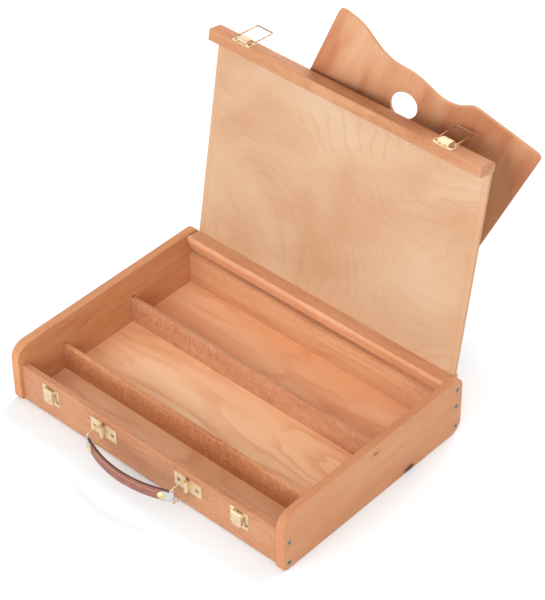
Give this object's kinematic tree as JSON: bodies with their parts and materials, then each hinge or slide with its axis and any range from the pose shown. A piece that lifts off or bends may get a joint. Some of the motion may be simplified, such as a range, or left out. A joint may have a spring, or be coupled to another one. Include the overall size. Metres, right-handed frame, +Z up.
{
  "type": "wooden sketch box",
  "caption": "Shallow wooden art box with divided trays, a lid that tilts back on pivot screws, wire-bail latches, a leather carrying handle and a loose palette.",
  "frame": {"origin": "centre of the underside of the box, on the surface it stands on", "axes": "+X to the right along the box, +Y from the front rail to the back, +Z up"},
  "size_m": [0.4164, 0.4539, 0.4337],
  "materials": {
    "beech": "clear-lacquered beech, satin",
    "floor_ply": "beech-faced plywood, satin",
    "birch_ply": "birch plywood, satin",
    "palette_ply": "oiled beech-faced plywood",
    "brass": "brass-plated sheet, polished",
    "brass_wire": "brass-plated wire",
    "brass_screw": "brass-plated screws",
    "steel_screw": "zinc-plated cross-head screws",
    "nickel": "nickel-plated sheet",
    "leather": "brown stitched leather"
  },
  "bodies": {
    "case": {"side_panel_left": "beech", "side_panel_right": "beech", "front_rail": "beech", "back_rail": "beech", "bottom_panel": "floor_ply", "divider_front": "beech", "divider_rear": "beech", "case_screws": "steel_screw", "pivot_screws": "steel_screw", "latch_plate_left": "brass", "latch_plate_right": "brass", "latch_pin_left": "brass", "latch_pin_right": "brass", "latch_plate_screws": "brass_screw", "handle_plate_left": "brass", "handle_plate_right": "brass", "handle_plate_screws": "brass_screw"},
    "lid": {"lid_panel": "birch_ply", "lid_front_batten": "beech", "lid_hinge_batten": "beech", "lid_latch_base_left": "brass", "lid_latch_base_right": "brass", "lid_latch_screws": "brass_screw"},
    "bail_left": {"latch_bail_left": "brass_wire"},
    "bail_right": {"latch_bail_right": "brass_wire"},
    "lever_left": {"latch_lever_left": "brass"},
    "lever_right": {"latch_lever_right": "brass"},
    "loop_left": {"handle_loop_left": "brass_wire"},
    "loop_right": {"handle_loop_right": "brass_wire"},
    "strap": {"handle_strap": "leather", "strap_clip_left": "nickel", "strap_clip_right": "nickel", "strap_rivets": "brass"},
    "palette": {"palette": "palette_ply"}
  },
  "joints": [
    {"name": "lid_hinge", "type": "hinge", "parent": "case", "child": "lid", "pos_m": [0, 0.1351, 0.0628], "axis": [1, 0, 0], "range_deg": [0, 99.9]},
    {"name": "bail_left_hinge", "type": "hinge", "parent": "lid", "child": "bail_left", "pos_m": [-0.1435, 0.18153, 0.33639], "axis": [1, 0, 0], "range_deg": [0, 175]},
    {"name": "bail_right_hinge", "type": "hinge", "parent": "lid", "child": "bail_right", "pos_m": [0.1355, 0.18153, 0.33639], "axis": [1, 0, 0], "range_deg": [0, 175]},
    {"name": "lever_left_hinge", "type": "hinge", "parent": "case", "child": "lever_left", "pos_m": [-0.1435, -0.1415, 0.0424], "axis": [-1, 0, 0], "range_deg": [0, 90]},
    {"name": "lever_right_hinge", "type": "hinge", "parent": "case", "child": "lever_right", "pos_m": [0.1355, -0.1415, 0.0424], "axis": [-1, 0, 0], "range_deg": [0, 90]},
    {"name": "handle_swing", "type": "hinge", "parent": "case", "child": "loop_left", "pos_m": [-0.0625, -0.1422, 0.0335], "axis": [0, 0, 1], "range_deg": [-60, 60]},
    {"name": "strap_swivel", "type": "hinge", "parent": "loop_left", "child": "strap", "pos_m": [-0.0625, -0.1627, 0.0335], "axis": [0, 0, 1], "range_deg": [-60, 60]},
    {"name": "loop_right_swing", "type": "hinge", "parent": "case", "child": "loop_right", "pos_m": [0.0625, -0.1422, 0.0335], "axis": [0, 0, 1], "range_deg": [-60, 60]},
    {"name": "palette_lift", "type": "slide", "parent": "case", "child": "palette", "axis": [0, 0, 1], "range_m": [0, 0.35]}
  ],
  "couplings": [
    {"joint": "strap_swivel", "follows": "handle_swing", "ratio": -1},
    {"joint": "loop_right_swing", "follows": "handle_swing", "ratio": 1}
  ]
}
